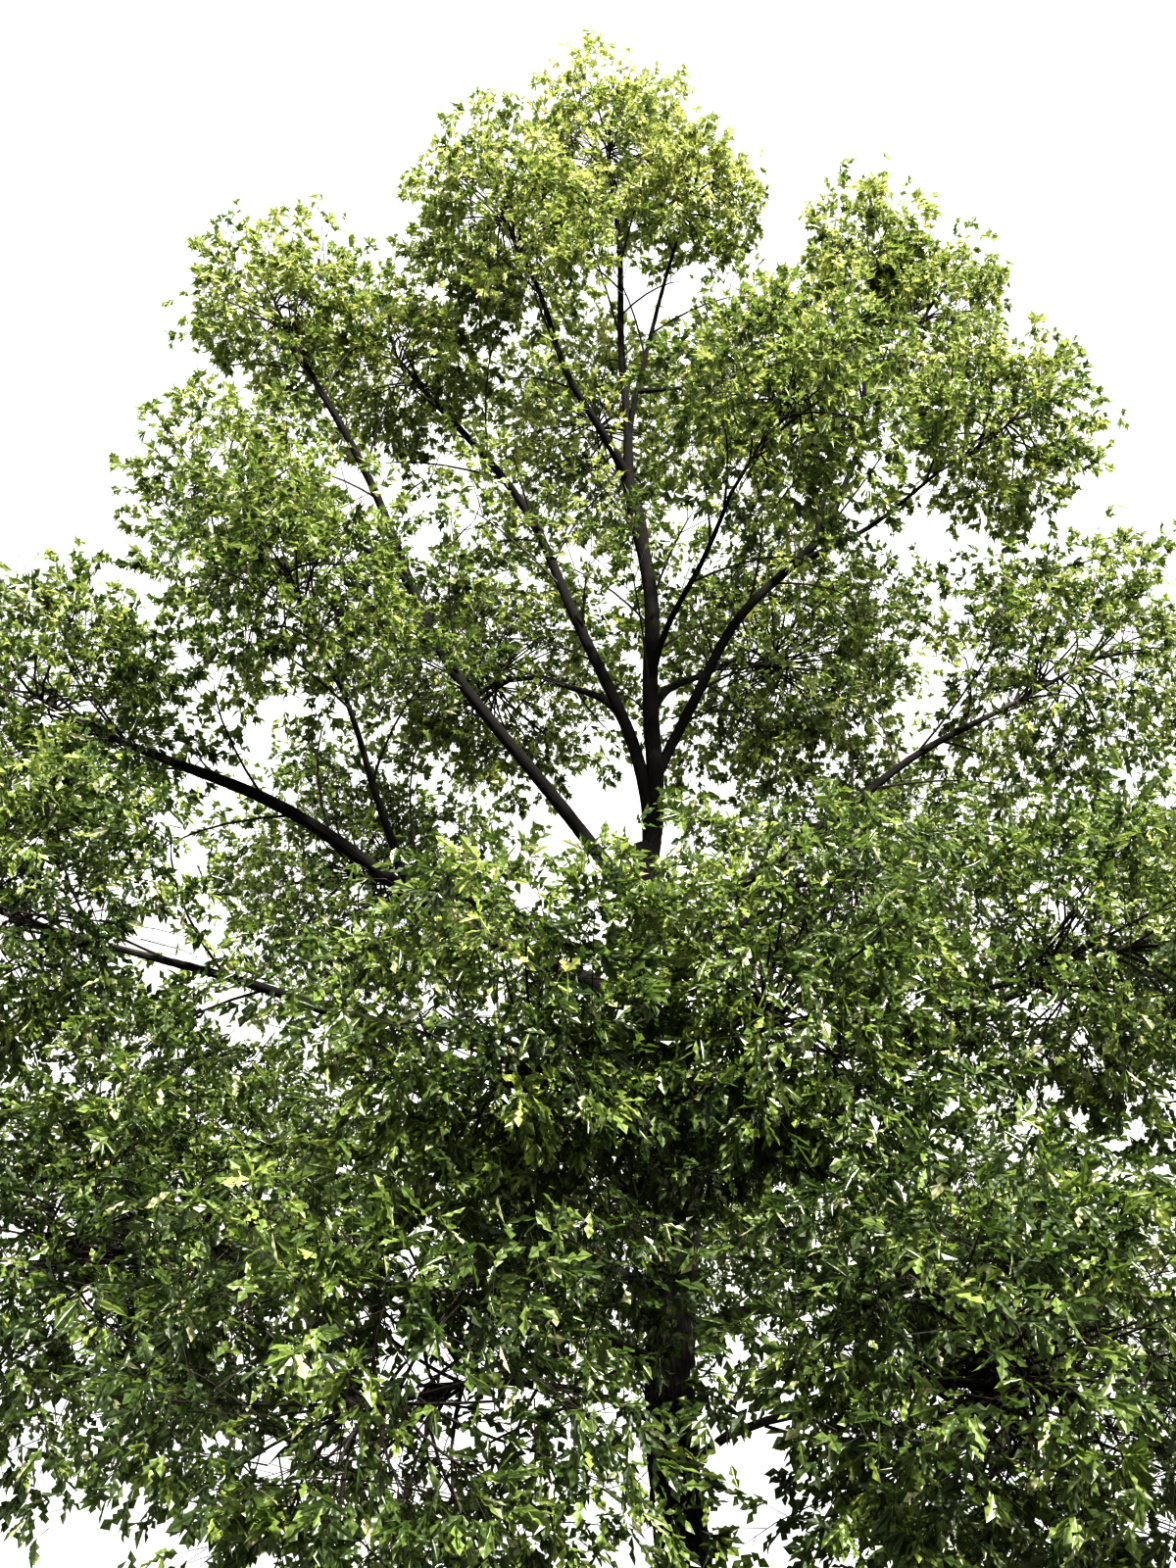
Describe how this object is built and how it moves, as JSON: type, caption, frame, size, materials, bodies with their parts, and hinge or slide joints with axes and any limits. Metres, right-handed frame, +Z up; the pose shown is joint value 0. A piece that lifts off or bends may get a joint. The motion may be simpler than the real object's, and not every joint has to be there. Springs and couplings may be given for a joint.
{
  "type": "black oak tree",
  "caption": "Tall open-grown broadleaf tree with one leaning trunk, a fork of rising boughs and a full rounded crown of lobed leaves.",
  "frame": {"origin": "middle of the trunk's flat cut at ground level", "axes": "+X to the right and +Y away from a viewer at the picture's side, +Z up"},
  "size_m": [16.3032, 15.5548, 23.0197],
  "materials": {
    "bark": "rough furrowed bark, near black",
    "leaves_low": "leathery lobed leaves, deep green with bright sunlit sprays",
    "leaves_middle": "leathery lobed leaves, mid green",
    "leaves_high": "leathery lobed leaves, yellow-green in the light"
  },
  "bodies": {
    "root": {"trunk": "bark", "leader": "bark", "left_stem": "bark", "right_bough": "bark", "left_high_bough": "bark", "left_shoulder_bough": "bark", "leader_left": "bark", "leader_middle": "bark", "leader_right": "bark", "leader_side": "bark", "leader_back": "bark", "leader_front": "bark", "right_upper": "bark", "right_outer": "bark", "right_side": "bark", "back_left_high": "bark", "back_right_high": "bark", "right_middle": "bark", "back_left_middle": "bark", "back_right_middle": "bark", "left_broad_bough": "bark", "left_inner": "bark", "right_front": "bark", "left_low_bough": "bark", "right_low": "bark", "back_low": "bark", "front_right": "bark", "front_left": "bark", "back_left_low": "bark", "back_right_low": "bark", "left_stem_foliage": "leaves_high", "left_high_bough_foliage": "leaves_high", "left_shoulder_bough_foliage": "leaves_middle", "leader_left_foliage": "leaves_high", "leader_middle_foliage": "leaves_high", "leader_right_foliage": "leaves_high", "leader_side_foliage": "leaves_high", "leader_back_foliage": "leaves_high", "leader_front_foliage": "leaves_middle", "right_upper_foliage": "leaves_high", "right_outer_foliage": "leaves_high", "right_side_foliage": "leaves_high", "back_left_high_foliage": "leaves_middle", "back_right_high_foliage": "leaves_middle", "right_middle_foliage": "leaves_middle", "back_left_middle_foliage": "leaves_middle", "back_right_middle_foliage": "leaves_middle", "left_broad_bough_foliage": "leaves_middle", "left_inner_foliage": "leaves_middle", "right_front_foliage": "leaves_low", "left_low_bough_foliage": "leaves_low", "right_low_foliage": "leaves_middle", "back_low_foliage": "leaves_low", "front_right_foliage": "leaves_low", "front_left_foliage": "leaves_low", "back_left_low_foliage": "leaves_low", "back_right_low_foliage": "leaves_low", "low_left_foliage": "leaves_low", "skirt_left_foliage": "leaves_low", "skirt_right_foliage": "leaves_low"}
  },
  "joints": []
}
